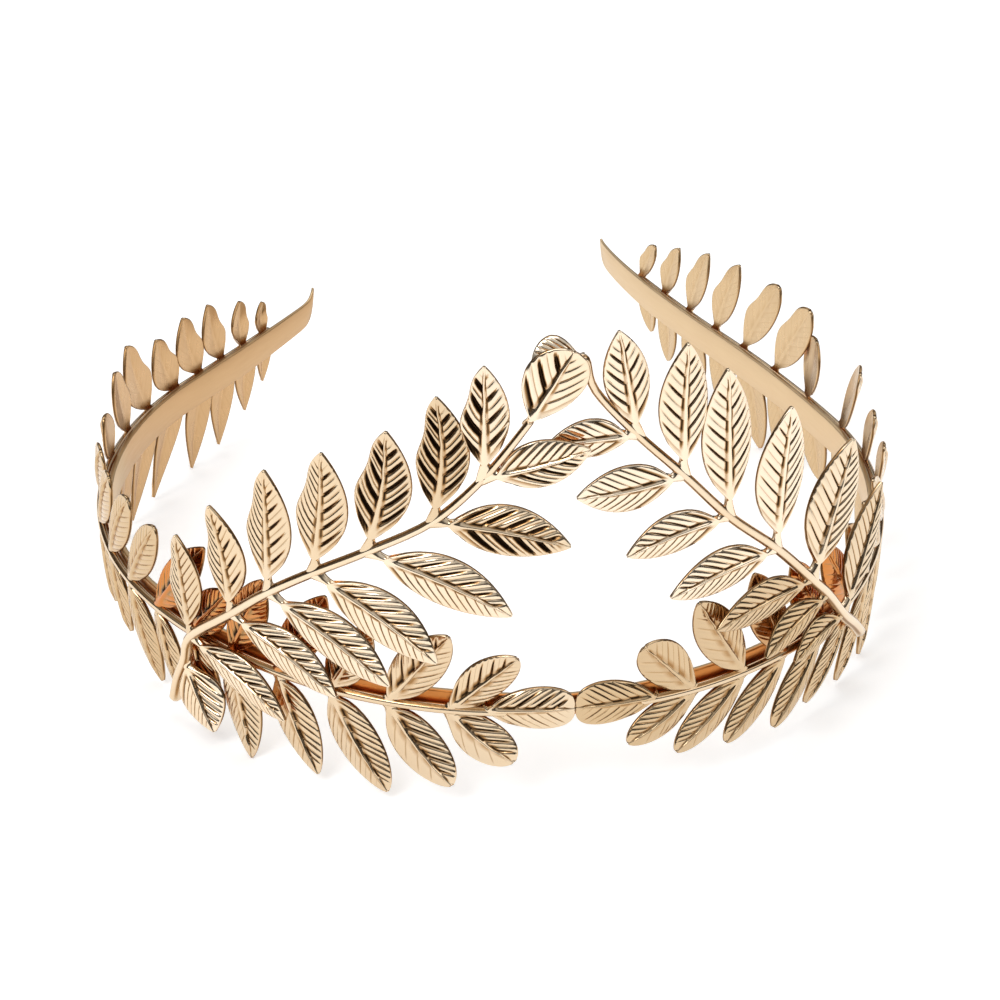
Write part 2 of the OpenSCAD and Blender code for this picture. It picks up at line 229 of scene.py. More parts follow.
def new_material(name):
    material = bpy.data.materials.new(name)
    material.use_nodes = True
    material.node_tree.nodes.clear()
    return material, material.node_tree.nodes, material.node_tree.links


def new_piece(name, bm):
    mesh = bpy.data.meshes.new(name)
    bm.to_mesh(mesh)
    bm.free()
    piece = bpy.data.objects.new(name, mesh)
    scene.collection.objects.link(piece)
    return piece


floor_material, nodes, links = new_material("pale floor")
paint = nodes.new("ShaderNodeBsdfPrincipled")
paint.inputs["Base Color"].default_value = FLOOR_WHITE
paint.inputs["Roughness"].default_value = FLOOR_ROUGH
paint.inputs["Emission Color"].default_value = (1.0, 1.0, 1.0, 1.0)
paint.inputs["Emission Strength"].default_value = FLOOR_GLOW
output = nodes.new("ShaderNodeOutputMaterial")
links.new(paint.outputs["BSDF"], output.inputs["Surface"])
bm = bmesh.new()
bmesh.ops.create_grid(bm, x_segments=1, y_segments=1, size=FLOOR_HALF)
floor = new_piece("floor", bm)
floor.data.materials.append(floor_material)
print("floor in m:", [round(v, 2) for v in floor.dimensions])

# %% [markdown]
# ## Gold finish
# The tiara is plated in a pale, slightly pink gold. Polishing leaves the raised
# bars bright and fine hand marks on them, and a darker tone stays in the
# grooves, which are painted darker still as the shade in them; a dark line of
# shade is also painted along each leaf's rim and the foot of its rib. What both
# gold materials share, the uneven tone and the fine marks, is one node group with
# named inputs. The grooves are an attribute of the mesh, because the mesh knows
# where they are and a texture would have to guess. A second attribute marks the
# unpolished backs. A third holds painted shade and light over a whole leaf: above
# 0 it paints the leaf dim and then brown, as the shade and the reflections of its
# neighbours, and below 0 it paints it pale, as light. The material also paints
# shade into corners where other metal is near.

# %% Node group for hand polished metal
CLOUD_DETAIL = 3.0
MARK_DETAIL = 4.0

polish = bpy.data.node_groups.new("hand polish", "ShaderNodeTree")
polish.interface.new_socket("Vector", in_out="INPUT", socket_type="NodeSocketVector")
polish.interface.new_socket("Cloud Size", in_out="INPUT", socket_type="NodeSocketFloat")
polish.interface.new_socket("Mark Size", in_out="INPUT", socket_type="NodeSocketFloat")
polish.interface.new_socket("Tone", in_out="OUTPUT", socket_type="NodeSocketFloat")
polish.interface.new_socket("Marks", in_out="OUTPUT", socket_type="NodeSocketFloat")
nodes, links = polish.nodes, polish.links
given = nodes.new("NodeGroupInput")
made = nodes.new("NodeGroupOutput")
clouds = nodes.new("ShaderNodeTexNoise")
clouds.inputs["Detail"].default_value = CLOUD_DETAIL
marks = nodes.new("ShaderNodeTexNoise")
marks.inputs["Detail"].default_value = MARK_DETAIL
links.new(given.outputs["Vector"], clouds.inputs["Vector"])
links.new(given.outputs["Vector"], marks.inputs["Vector"])
links.new(given.outputs["Cloud Size"], clouds.inputs["Scale"])
links.new(given.outputs["Mark Size"], marks.inputs["Scale"])
links.new(clouds.outputs["Fac"], made.inputs["Tone"])
links.new(marks.outputs["Fac"], made.inputs["Marks"])
print("node group:", polish.name)

# %% Nodes that the gold is mixed from
GOLD_LIGHT = (0.94, 0.80, 0.62, 1.0)
GOLD_DEEP = (0.90, 0.72, 0.51, 1.0)
RAW_GOLD = (0.72, 0.53, 0.32, 1.0)
# colours of painted shade: dim gold for light shade, brown for deep shade and corners
DIM_SHADE_GOLD = (0.575, 0.40, 0.215, 1.0)
SHADED_GOLD = (0.60, 0.21, 0.045, 1.0)
# groove colours: a stain left in the grooves, painted darker as the shade in them
GROOVE_EDGE = (0.42, 0.23, 0.09, 1.0)
GROOVE_BROWN = (0.03, 0.015, 0.007, 1.0)


def blend(nodes, links, factor, first, second):
    """Mix of two colours; each may be a colour or the output of another node."""
    node = nodes.new("ShaderNodeMix")
    node.data_type = "RGBA"
    for name, value in (("A", first), ("B", second)):
        if isinstance(value, tuple):
            node.inputs[name].default_value = value
        else:
            links.new(value, node.inputs[name])
    links.new(factor, node.inputs["Factor"])
    return node.outputs["Result"]


def spread(nodes, links, value, low, high, to_low=0.0, to_high=1.0):
    """The value's range from low to high, stretched or turned to another range."""
    node = nodes.new("ShaderNodeMapRange")
    node.inputs["From Min"].default_value = low
    node.inputs["From Max"].default_value = high
    node.inputs["To Min"].default_value = to_low
    node.inputs["To Max"].default_value = to_high
    links.new(value, node.inputs["Value"])
    return node.outputs["Result"]


def painted(nodes, name):
    """An attribute of the mesh."""
    node = nodes.new("ShaderNodeAttribute")
    node.attribute_name = name
    return node.outputs["Fac"]


def add_scaled(nodes, links, value, scale, base):
    """The output base with the scaled value added."""
    node = nodes.new("ShaderNodeMath")
    node.operation = "MULTIPLY_ADD"
    node.inputs[1].default_value = scale
    links.new(value, node.inputs[0])
    links.new(base, node.inputs[2])
    return node.outputs["Value"]


# %% Gold for the leaves
# How near other metal has to be to make a corner, and how much open sky a point
# has where the painted shade of a corner begins and where it is full.
CORNER_REACH = 6 * MM
CORNER_SAMPLES = 8
CORNER_SKY = (0.6, 0.15)
# the parts of the two noises' ranges that are stretched from 0 to 1
CLOUDS = (0.35, 0.65)
MARKS = (0.3, 0.7)
# the painted shade at which the gold is fully dim; at 1 it is the brown of deep shade
DIM_SHADE_AT = 0.4
# darkness of a groove, partly a stain left in it and partly painted shade, over
# which its edge colour and then its brown come in
STAIN_AND_SHADE_EDGE = (0.0, 0.45)
STAIN_AND_SHADE = (0.4, 0.9)
ROUGH_SWING = 0.05
GROOVE_ROUGH = 0.2
RAW_ROUGH = 0.16
MARK_STRENGTH = 0.5
STROKE = 0.3


def gold_material(name, vector_of, cloud_size, mark_size, bump_distance, rough):
    """Gold with grooves stained and painted darker, unpolished backs, and painted shade and light."""
    material, nodes, links = new_material(name)
    hand = nodes.new("ShaderNodeGroup")
    hand.node_tree = polish
    links.new(vector_of(nodes, links), hand.inputs["Vector"])
    hand.inputs["Cloud Size"].default_value = cloud_size
    hand.inputs["Mark Size"].default_value = mark_size
    dark = painted(nodes, "groove")
    raw = painted(nodes, "raw")
    open_sky = nodes.new("ShaderNodeAmbientOcclusion")
    open_sky.samples = CORNER_SAMPLES
    open_sky.inputs["Distance"].default_value = CORNER_REACH
    painted_corner_shade = spread(nodes, links, open_sky.outputs["AO"], *CORNER_SKY)
    tone = spread(nodes, links, hand.outputs["Tone"], *CLOUDS)
    colour = blend(nodes, links, tone, GOLD_LIGHT, GOLD_DEEP)
    colour = blend(nodes, links, raw, colour, RAW_GOLD)
    # painted shade in corners where other metal comes near
    colour = blend(nodes, links, painted_corner_shade, colour, SHADED_GOLD)
    shade = painted(nodes, "shade")
    # below 0 the shade attribute paints light, which also takes back the painted corner shade
    colour = blend(nodes, links, spread(nodes, links, shade, 0.0, -1.0), colour, GOLD_LIGHT)
    # above 0 it paints shade, first dim gold and then the brown of deep shade
    colour = blend(nodes, links, spread(nodes, links, shade, 0.0, DIM_SHADE_AT), colour, DIM_SHADE_GOLD)
    colour = blend(nodes, links, spread(nodes, links, shade, DIM_SHADE_AT, 1.0), colour, SHADED_GOLD)
    colour = blend(nodes, links, spread(nodes, links, dark, *STAIN_AND_SHADE_EDGE), colour, GROOVE_EDGE)
    colour = blend(nodes, links, spread(nodes, links, dark, *STAIN_AND_SHADE), colour, GROOVE_BROWN)
    least, most = rough - ROUGH_SWING, rough + ROUGH_SWING
    roughness = spread(nodes, links, hand.outputs["Marks"], *MARKS, least, most)
    roughness = add_scaled(nodes, links, dark, GROOVE_ROUGH, roughness)
    roughness = add_scaled(nodes, links, raw, RAW_ROUGH, roughness)
    bump = nodes.new("ShaderNodeBump")
    bump.inputs["Strength"].default_value = MARK_STRENGTH
    bump.inputs["Distance"].default_value = bump_distance
    links.new(hand.outputs["Marks"], bump.inputs["Height"])
    metal = nodes.new("ShaderNodeBsdfPrincipled")
    metal.inputs["Metallic"].default_value = 1.0
    links.new(colour, metal.inputs["Base Color"])
    links.new(roughness, metal.inputs["Roughness"])
    links.new(bump.outputs["Normal"], metal.inputs["Normal"])
    output = nodes.new("ShaderNodeOutputMaterial")
    links.new(metal.outputs["BSDF"], output.inputs["Surface"])
    return material


def upright_vector(nodes, links):
    """Place on the object, flattened so that the marks become upright strokes."""
    flat = nodes.new("ShaderNodeVectorMath")
    flat.operation = "MULTIPLY"
    flat.inputs[1].default_value = (1.0, 1.0, STROKE)
    links.new(nodes.new("ShaderNodeTexCoord").outputs["Object"], flat.inputs[0])
    return flat.outputs["Vector"]


leaf_gold = gold_material(
    "leaf gold", upright_vector, cloud_size=90.0, mark_size=900.0, bump_distance=0.03 * MM, rough=0.13
)
print("material:", leaf_gold.name)

# %% [markdown]
# The band is the same gold, but brushed: fine scratches run along it. They follow
# an attribute that holds the distance along the band, because plain Object
# coordinates would let them cut straight through its bend.

# %% Band gold, brushed along its length
BRUSH_STRETCH = 0.06


def along_vector(nodes, links):
    """Distance along the band, shortened so that noise becomes streaks, and height."""
    place = nodes.new("ShaderNodeTexCoord")
    split = nodes.new("ShaderNodeSeparateXYZ")
    joined = nodes.new("ShaderNodeCombineXYZ")
    shorter = nodes.new("ShaderNodeMath")
    shorter.operation = "MULTIPLY"
    shorter.inputs[1].default_value = BRUSH_STRETCH
    links.new(place.outputs["Object"], split.inputs["Vector"])
    links.new(painted(nodes, "along"), shorter.inputs[0])
    links.new(shorter.outputs["Value"], joined.inputs["X"])
    links.new(split.outputs["Z"], joined.inputs["Y"])
    return joined.outputs["Vector"]


band_gold = gold_material(
    "band gold", along_vector, cloud_size=250.0, mark_size=2500.0, bump_distance=0.02 * MM, rough=0.22
)
print("material:", band_gold.name)

# %% [markdown]
# ## One leaf
# A real leaf of this kind is struck in a die: a raised middle rib, slanting
# grooves with bars between them, and an edge that rolls down, along which a dark
# line of shade is painted. It starts as a grid whose lines already run along the
# veins, so that each groove gets the few rows it needs and nothing is spent on the
# flat places. One extrusion adds the back, and each point then goes where the
# leaf's outline and relief put it. Displacing a fine even grid would take ten times
# as many faces.

# %% Outline of a leaf
# Share of the stalk, how slim the blade is at its base and at its tip, and how
# much the edge of the high half is drawn in below the tip.
Shape = namedtuple("Shape", "stalk base tip hollow")
# Foot, slant in degrees, length, width, sideways bow, twist, shape, and the slope
# of the stem that it leaves, or None for a leaf that ends a stem.
Leaf = namedtuple("Leaf", "s z angle length width bow twist shape stem")
STALK_W = 1.2
# the web of metal between a leaf's foot and its stem
WEB_REACH = 1.5
WEB_W = 0.8


def blade_share(leaf, t):
    return clamp01((t - leaf.shape.stalk) / (1 - leaf.shape.stalk))


def leaf_half(leaf, t):
    """Half of the width at share t of the length: web, stalk, then an oval blade."""
    base, tip = leaf.shape.base, leaf.shape.tip
    widest = base / (base + tip)
    blade = blade_share(leaf, t)
    full = (blade / widest) ** base * ((1 - blade) / (1 - widest)) ** tip
    web = WEB_W * math.exp(-(leaf.length * t / WEB_REACH) ** 2) if leaf.stem is not None else 0.0
    return max(STALK_W * (1 - t), leaf.width * full) / 2 + web


# %% [markdown]
# The veins leave the middle rib at the same slant all the way up. So a row of
# the grid starts at the rib and meets the edge further on, and a few short rows
# fan out at the foot of the blade. Where a row meets the edge is found by
# halving an interval, which needs no formula for the outline.

# %% Rows of the grid, finer where a groove lies
VEIN_LEAN = 1.15
HALVINGS = 24
STALK_ROWS = [0.0, 0.2, 0.4, 0.6, 0.8]
FAN_ROWS = [0.2, 0.45, 0.52, 0.57, 0.62, 0.69, 0.85, 1.0]
FAN_LINE = 0.57
FAN_PITCH = 0.8
FIRST_VEIN = 0.3
TIP_END = 0.992
TIP_GAP = 0.004
# A phase tells where a row lies between two grooves: 0 is in the groove, 0.5 on
# the line half way to the next one, and this one on the bar between.
BAR_PHASE = 0.25
# phases of half a pitch, and the rows' shares of the way from the rib to the edge
Grid = namedtuple("Grid", "half_pitch shares")
FINE_GRID = Grid(
    [0.0, 0.035, 0.07, 0.12, 0.2, 0.34, 0.43, 0.465],
    [0.05, 0.14, 0.35, 0.6, 0.8, 0.92, 0.97, 1.0],
)
PLAIN_GRID = Grid(
    [0.0, 0.045, 0.1, 0.25, 0.4, 0.455],
    [0.07, 0.3, 0.65, 0.88, 0.96, 1.0],
)


def edge_of_row(leaf, start):
    """Where a vein that leaves the rib at start meets the edge."""
    low, high = start, 1.0
    for _ in range(HALVINGS):
        t = (low + high) / 2
        if t - start < VEIN_LEAN * leaf_half(leaf, t) / leaf.length:
            low = t
        else:
            high = t
    return high


def rows_along(leaf, pitches, half_pitch):
    """Rows as (t at the rib, t at the edge, phase in its pitch), from stalk to tip."""
    stalk = leaf.shape.stalk
    rows = [(k * stalk, k * stalk, BAR_PHASE) for k in STALK_ROWS]
    first = edge_of_row(leaf, stalk)
    foot = STALK_ROWS[-1] * stalk
    for k in FAN_ROWS:
        phase = clamp01(0.5 + (k - FAN_LINE) * FAN_PITCH)
        rows.append((mix(foot, stalk, k), mix(foot, first, k), phase))
    phases = half_pitch + [0.5 + phase for phase in half_pitch]
    for i in range(pitches):
        for phase in phases:
            k = (i + phase + FIRST_VEIN) / (pitches + FIRST_VEIN)
            start = mix(stalk, 1.0, k)
            if start < TIP_END - TIP_GAP:
                rows.append((start, edge_of_row(leaf, start), phase))
    return rows + [(TIP_END, TIP_END, BAR_PHASE)]


def rows_across(shares):
    """Rows from one edge to the other as (side, share of the rib, share of the blade)."""
    right = [(1.0, 0.55, 0.0), (1.0, 1.0, 0.0)] + [(1.0, 1.0, share) for share in shares]
    left = [(-1.0, rib, share) for side, rib, share in reversed(right)]
    return left + [(0.0, 0.0, 0.0)] + right


for title, grid in (("fine", FINE_GRID), ("plain", PLAIN_GRID)):
    print(title, "grid:", len(rows_across(grid.shares)), "rows across a leaf")

# %% [markdown]
# The relief is worked out point by point from the phase and from the share of the
# way to the edge. A cut has a depth, for the shape, and a darkness, which the gold
# reads as the brown left in it and as painted shade in the groove. The real leaves
# are not all struck alike, some with broad grooves and some with hair lines, so
# there are nine kinds of cut.

# %% Cuts from broad to faint
# Depth of the groove and of the line between two grooves, their darkness, how far
# from the rib to the edge the groove reaches, and half its width as a share of the pitch.
Cut = namedtuple("Cut", "groove line groove_dark line_dark reach half")
DEEP = Cut(0.42, 0.10, 1.0, 0.6, 1.1, 0.18)
BOLD = Cut(0.42, 0.10, 1.0, 0.45, 1.0, 0.13)
STRIPE = Cut(0.3, 0.05, 1.0, 0.25, 0.85, 0.085)
SLIM = Cut(0.24, 0.08, 1.0, 0.3, 0.9, 0.05)
MARK = Cut(0.3, 0.08, 0.9, 0.4, 0.75, 0.085)
FINE = Cut(0.16, 0.15, 0.8, 0.85, 1.1, 0.035)
THIN = Cut(0.14, 0.08, 1.0, 0.35, 0.95, 0.035)
SOFT = Cut(0.14, 0.08, 0.55, 0.3, 1.0, 0.035)
FAINT = Cut(0.08, 0.03, 0.4, 0.0, 0.9, 0.035)
BAR_ROUND = 0.15
LINE_HALF = 0.05
# Over the last stretch of its reach a groove grows narrow and shallow.
TAPER_LENGTH = 0.4
END_HALF = 0.035
END_DEPTH = 0.3
# A broad groove has one steep side and one gentle one.
GENTLE_HALF = 0.15
BROAD = (0.05, 0.12)


def groove(cut, phase, share):
    """Depth and darkness over one pitch; a groove tapers towards the edge."""
    after = phase if phase < 0.5 else 1.0
    before = 1 - phase if phase >= 0.5 else 1.0
    to_groove, to_line = min(phase, 1 - phase), abs(phase - 0.5)
    taper = 1 - smooth(cut.reach - TAPER_LENGTH, cut.reach, share)
    half = mix(END_HALF, cut.half, taper)
    gentle = mix(half, GENTLE_HALF, smooth(*BROAD, cut.half))
    deep = math.exp(-(after / half) ** 2) + math.exp(-(before / gentle) ** 2) * (phase >= 0.5)
    thin = math.exp(-(to_line / LINE_HALF) ** 2)
    rounding = min(BAR_ROUND, 0.5 * cut.groove) * math.sin(2 * math.pi * phase) ** 2
    depth = cut.groove * min(deep, 1.0) * mix(END_DEPTH, 1.0, taper) + cut.line * thin - rounding
    # the darkness of a groove is partly a stain and partly painted shade
    stain_and_shade = 1 - smooth(half - 0.02, half + 0.03, to_groove)
    dark = cut.groove_dark * stain_and_shade * smooth(0.0, 0.3, taper)
    return depth, max(dark, cut.line_dark * (1 - smooth(0.01, LINE_HALF, to_line)))


for title, cut in (("broad", DEEP), ("faint", FAINT)):
    print("depth of a", title, "groove in mm:", round(groove(cut, 0.0, 0.5)[0], 2))

# %% Relief of a leaf
LEAF_T = 0.6
RIB_H = 0.5
RIB_LOWERED = 0.8
STALK_SUNK = 0.15
FOLD_BACK = 0.5
PILLOW = 0.2
RIM_START = 0.96
RIM_DROP = 0.2
# a dark line of shade is painted along the rolled-down rim
OUTLINE_START = 0.965
OUTLINE_SHADE = 0.8
# a dark line of shade painted in the crease at the foot of the rib
RIB_FOOT = 0.1
RIB_FOOT_SHADE = (0.3, 0.9)
# The cuts fade in from the rib and the stalk, and out towards the edge and the tip.
FROM_RIB = (0.0, 0.12)
TO_EDGE = (0.86, 0.96)
FROM_STALK = (0.02, 0.08)
TO_TIP = (0.82, 0.95)


def relief(leaf, cut, t, phase, rib, share, q):
    """Lift of the upper face over the wall's offset, and how dark it is there."""
    blade = blade_share(leaf, t)
    grown = math.sin(math.pi * blade)
    depth, dark = groove(cut, phase, share)
    inside = smooth(*FROM_RIB, share) * (1 - smooth(*TO_EDGE, share))
    inside *= smooth(*FROM_STALK, blade) * (1 - smooth(*TO_TIP, blade))
    crest = RIB_H * (1 - rib * rib) * (1 - RIB_LOWERED * smooth(0.8, 1.0, blade))
    bladed = crest + PILLOW * grown * math.sin(math.pi * share) - FOLD_BACK * grown * share
    round_stalk = RIB_H * (1 - q * q) - STALK_SUNK
    lift = mix(round_stalk, bladed - depth * inside, smooth(0.0, 0.12, blade))
    lift -= RIM_DROP * smooth(RIM_START, 1.0, share)
    foot = 0.0
    # painted shade in the crease where the blade meets the rib
    if rib == 1.0 and share < RIB_FOOT:
        foot = mix(*RIB_FOOT_SHADE, smooth(0.3, 0.55, phase)) * smooth(0.05, 0.15, blade)
        foot *= 1 - smooth(0.9, 0.97, blade)
        foot *= cut.groove_dark
    # painted shade line along the rim
    outline = OUTLINE_SHADE * smooth(OUTLINE_START, 1.0, share) * smooth(0.0, 0.1, blade)
    outline *= 1 - smooth(0.85, 0.95, blade)
    return lift, max(dark * inside, foot, outline)


# %% Make a leaf
RIB_W = 0.6
RIB_END = 0.2
RIB_SHARE = 0.55
RIB_WAVE = 0.06
VEIN_BEND = 1.2
HOLLOW_START = 0.42
BACK_ROUND = 0.25
BACK_DARK = 0.2
BACK_OUTLINE_SHADE = 0.6
# the deepest painted shade on a leaf's back
BACK_SHADE = 0.5
MAX_LEAN = 1.3
# how deep the foot of a leaf that ends a stem goes into it
SINK = 0.7
SINK_SHARE = 0.8
# cuts of the low and the high half, tone (painted shade above 0, painted light
# below 0), and distance between two veins
Look = namedtuple("Look", "low high tone pitch")
LAYERS = ("groove", "raw", "shade")


def once(items):
    """The items in their order, each one once, so that every run is the same."""
    return list(dict.fromkeys(items))


def new_layers(bm, *more):
    """Attributes of the mesh that the gold reads."""
    return {name: bm.verts.layers.float.new(name) for name in LAYERS + more}


def leaf_place(side, leaf, off, flare, a, b, lift):
    """Place of the point that is a along the leaf and b across it."""
    t = a / leaf.length
    if leaf.stem is not None:
        turn = math.radians(leaf.angle - leaf.stem)
        lean = max(-MAX_LEAN, min(MAX_LEAN, math.cos(turn) / math.sin(turn)))
        a -= b * lean * math.exp(-(a / WEB_REACH) ** 2)
    else:
        lift -= SINK * (1 - smooth(0.0, SINK_SHARE * leaf.shape.stalk, t))
    b += leaf.bow * math.sin(math.pi * clamp01(t))
    angle = math.radians(leaf.angle)
    s = leaf.s - a * math.cos(angle) + b * math.sin(angle)
    z = leaf.z + a * math.sin(angle) + b * math.cos(angle)
    return wall(side, s, off + flare * max(t, 0.0) ** 3 + lift, z)


def add_leaf(bm, layers, side, leaf, off, flare, look, grid):
    """Adds one closed leaf to the mesh."""
    stalk = leaf.shape.stalk
    pitches = max(3, round(leaf.length * (1 - stalk) / look.pitch))
    along = rows_along(leaf, pitches, grid.half_pitch)
    across = rows_across(grid.shares)
    last_i, last_j = len(along) - 1, len(across) - 1
    front = bmesh.ops.create_grid(bm, x_segments=last_i, y_segments=last_j, size=1.0)["verts"]
    faces = once(f for v in front for f in v.link_faces)
    grown = bmesh.ops.extrude_face_region(bm, geom=faces)
    back = {e for e in grown["geom"] if isinstance(e, bmesh.types.BMVert)}
    for v in front + list(back):
        behind = v in back
        start, end, phase = along[round((v.co.x + 1) / 2 * last_i)]
        hand, rib, share = across[round((v.co.y + 1) / 2 * last_j)]
        if hand < 0:
            phase = (phase + 0.5) % 1.0
        t = mix(start, end, share ** VEIN_BEND)
        half = leaf_half(leaf, end)
        rib_half = min(RIB_W * mix(1.0, RIB_END, start), RIB_SHARE * leaf_half(leaf, start))
        b = hand * (rib * rib_half + (half - rib_half) * share)
        q = b / half
        if hand > 0:
            b *= 1 - leaf.shape.hollow * math.sin(math.pi * smooth(HOLLOW_START, 1.0, t))
        b += RIB_WAVE * math.sin(2 * math.pi * pitches * start) * (1 - share) * blade_share(leaf, start)
        lift, dark = relief(leaf, look.high if hand > 0 else look.low, t, phase, rib, share, q)
        if behind:
            folded = FOLD_BACK * math.sin(math.pi * blade_share(leaf, t)) * share
            lift = -LEAF_T - folded + BACK_ROUND * smooth(RIM_START, 1.0, share)
            # the back gets a faint copy of the groove darkness and a painted shade line along its rim
            dark = max(BACK_DARK * dark, BACK_OUTLINE_SHADE * smooth(OUTLINE_START, 1.0, share))
        v[layers["groove"]] = dark
        v[layers["raw"]] = 1.0 if behind else 0.0
        # painted shade and light of the whole leaf, held lower on its back
        v[layers["shade"]] = min(look.tone, BACK_SHADE) if behind else look.tone
        v.co = leaf_place(side, leaf, off, flare, leaf.length * t, b, lift + leaf.twist * b)


# %% [markdown]
# ## Stems
# The stems are round, and two lines are engraved along the side that shows and
# painted dark, as the reflection of a dark horizon in them. A chain of circles is
# set square to the way the stem runs, each is pressed in a little at the two lines,
# and each is bridged to the next. They run smoothly through the joints where the
# leaves start. A curve with a round bevel would be quicker to lay, but it has no
# place for the lines.

# %% Make a stem
STEM_SIDES = 24
STEM_STEPS = 5
# the last ring's share of the radius, and its distance as a share of it
STEM_END = 0.6
LINE_ANGLE = math.radians(52)
LINE_WIDTH = math.radians(13)
LINE_DEPTH = 0.1
LINE_REFLECTION_DARK = 0.75
# The lines grow dark over the first and the last few rings.
PLAIN_RINGS = 4


def between(places, i, k):
    """Smooth place between two of a stem's places, the neighbours setting the bend."""
    a = places[max(i - 1, 0)]
    b, c = places[i], places[i + 1]
    d = places[min(i + 2, len(places) - 1)]
    out = []
    for p0, p1, p2, p3 in zip(a, b, c, d):
        out.append(0.5 * (
            2 * p1 + (p2 - p0) * k
            + (2 * p0 - 5 * p1 + 4 * p2 - p3) * k ** 2
            + (3 * p1 - p0 - 3 * p2 + p3) * k ** 3
        ))
    return out


def add_stem(bm, layers, side, places, shade):
    """Adds a round stem through places of (s, z, off, diameter)."""
    chain = []
    for i in range(len(places) - 1):
        chain += [between(places, i, k / STEM_STEPS) for k in range(STEM_STEPS)]
    chain.append(list(places[-1]))
    points = [wall(side, s, off, z) for s, z, off, d in chain]
    outward = [
        (wall(side, s, off + 1, z) - wall(side, s, off, z)).normalized()
        for s, z, off, d in chain
    ]
    outward = [outward[0]] + outward + [outward[-1]]
    radii = [row[3] / 2 * MM for row in chain]
    first_way = (points[0] - points[1]).normalized()
    last_way = (points[-1] - points[-2]).normalized()
    first_end = points[0] + first_way * radii[0] * STEM_END
    last_end = points[-1] + last_way * radii[-1] * STEM_END
    points = [first_end] + points + [last_end]
    radii = [radii[0] * STEM_END] + radii + [radii[-1] * STEM_END]
    previous = None
    for i, (point, radius) in enumerate(zip(points, radii)):
        way = points[min(i + 1, len(points) - 1)] - points[max(i - 1, 0)]
        turn = way.to_track_quat("Z", "Y").to_matrix().to_4x4()
        placed = Matrix.Translation(point) @ turn
        ring = bmesh.ops.create_circle(
            bm, cap_ends=False, radius=radius, segments=STEM_SIDES, matrix=placed
        )["verts"]
        across = way.normalized().cross(outward[i])
        for v in ring:
            arm = v.co - point
            angle = abs(math.atan2(arm.dot(across), arm.dot(outward[i])))
            line = math.exp(-((angle - LINE_ANGLE) / LINE_WIDTH) ** 2)
            v.co = point + arm * (1 - LINE_DEPTH * line)
            v[layers["shade"]] = shade
            # the lines' darkness is a painted dark reflection
            v[layers["groove"]] = LINE_REFLECTION_DARK * line * smooth(0, PLAIN_RINGS, min(i, len(points) - 1 - i))
        edges = once(e for v in ring for e in v.link_edges if len(e.link_faces) == 0)
        if previous:
            bmesh.ops.bridge_loops(bm, edges=previous + edges)
        else:
            bmesh.ops.contextual_create(bm, geom=edges)
        previous = edges
    bmesh.ops.contextual_create(bm, geom=previous)


# %% [markdown]
# Every finished piece has its faces turned outward and shaded smooth, and gets
# its gold. Then it is hung from the empty of the body it rides on, and the plain
# solid it takes the place of is hidden.

# %% Finish a piece
def finish_piece(name, bm, material, node):
    bmesh.ops.recalc_face_normals(bm, faces=bm.faces)
    for face in bm.faces:
        face.smooth = True
    piece = new_piece(name, bm)
    piece.data.materials.append(material)
    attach(piece, "root")
    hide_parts(node)
    triangles = sum(len(p.vertices) - 2 for p in piece.data.polygons)
    print(name, "triangles:", triangles)


# %% [markdown]
# ## Branches along the band
# Each branch is one stem with a leaf above and a leaf below at every joint. The
# tables give the leaves at a few distances along the band, and the ones between
# are mixed from them. A random twist of a few degrees keeps the row from looking
# machined. The lowest leaves reach the ground and carry the tiara.

# %% Tables of the branches' leaves
BRANCH_D = 1.7
SOLDER_GAP = 0.2
BRANCH_OFF = BRANCH_D / 2 + SOLDER_GAP
BRANCH_START = 11.0
